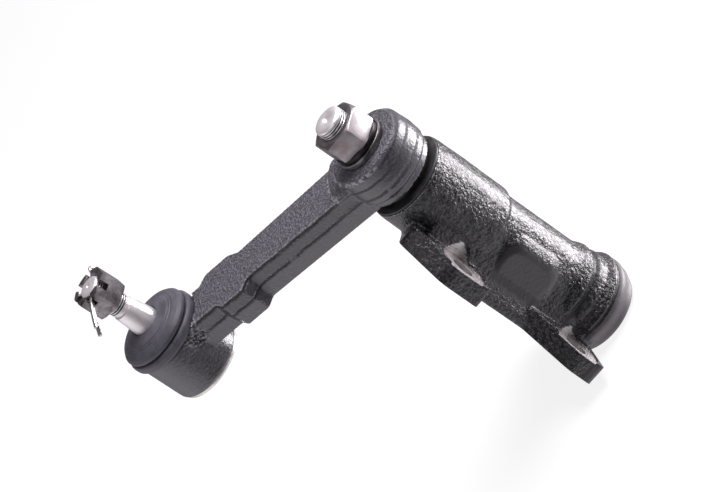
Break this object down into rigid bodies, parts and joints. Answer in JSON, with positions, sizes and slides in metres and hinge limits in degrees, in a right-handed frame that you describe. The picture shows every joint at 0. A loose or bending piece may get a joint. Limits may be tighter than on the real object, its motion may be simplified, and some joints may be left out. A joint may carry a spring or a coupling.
{
  "type": "steering idler arm",
  "caption": "Steering idler arm: cast frame bracket with bushed pivot, forged arm, and booted ball joint with castle nut and cotter pin.",
  "frame": {"origin": "on the bracket's mounting face, midway between the near frame bolts along the pivot and right below the pivot axis", "axes": "+Z along the pivot towards the arm and nuts, +Y from the mounting face into the bracket, +X towards the side with two bolt ears"},
  "size_m": [0.1251, 0.2143, 0.2285],
  "materials": {
    "cast_black": "gloss black paint on a rough casting",
    "forged_grey": "satin dark grey paint on a forging",
    "cap_dark": "satin dark grey",
    "bush_bronze": "machined",
    "seal_rubber": "matte",
    "boot_rubber": "matte",
    "bright_steel": "bright machined",
    "nut_steel": "grey zinc",
    "dark_steel": "dark oiled",
    "zinc_plate": "pale zinc",
    "castle_steel": "dark zinc",
    "seat_plastic": "natural"
  },
  "bodies": {
    "bracket": {"bracket_housing": "cast_black", "end_cap": "cap_dark", "upper_bush": "bush_bronze", "lower_bush": "bush_bronze", "dust_seal": "seal_rubber"},
    "arm": {"pivot_shaft": "bright_steel", "thrust_washer": "nut_steel", "retaining_ring": "dark_steel", "idler_arm": "forged_grey", "plain_washer": "nut_steel", "spring_washer": "dark_steel", "pivot_nut": "nut_steel", "pressure_cup": "seat_plastic", "preload_spring": "dark_steel", "socket_cover": "zinc_plate", "boot_ring": "boot_rubber"},
    "seat": {"ball_seat": "seat_plastic"},
    "boot": {"dust_boot": "boot_rubber"},
    "stud": {"ball_stud": "bright_steel", "castle_nut": "castle_steel", "cotter_pin": "bright_steel"}
  },
  "joints": [
    {"name": "arm_swing", "type": "hinge", "parent": "bracket", "child": "arm", "pos_m": [0, 0.0256, 0.0825], "axis": [0, 0, 1], "continuous": true},
    {"name": "ball_turn", "type": "hinge", "parent": "arm", "child": "seat", "pos_m": [-0.04888, -0.13429, 0.0945], "axis": [0, 0, 1], "continuous": true},
    {"name": "stud_tilt", "type": "hinge", "parent": "seat", "child": "boot", "pos_m": [-0.04888, -0.13429, 0.0945], "axis": [0.9563, -0.2924, 0], "range_deg": [-18, 18], "deforming": ["dust_boot"]},
    {"name": "stud_spin", "type": "hinge", "parent": "boot", "child": "stud", "pos_m": [-0.04888, -0.13429, 0.0945], "axis": [0, 0, 1], "continuous": true}
  ]
}
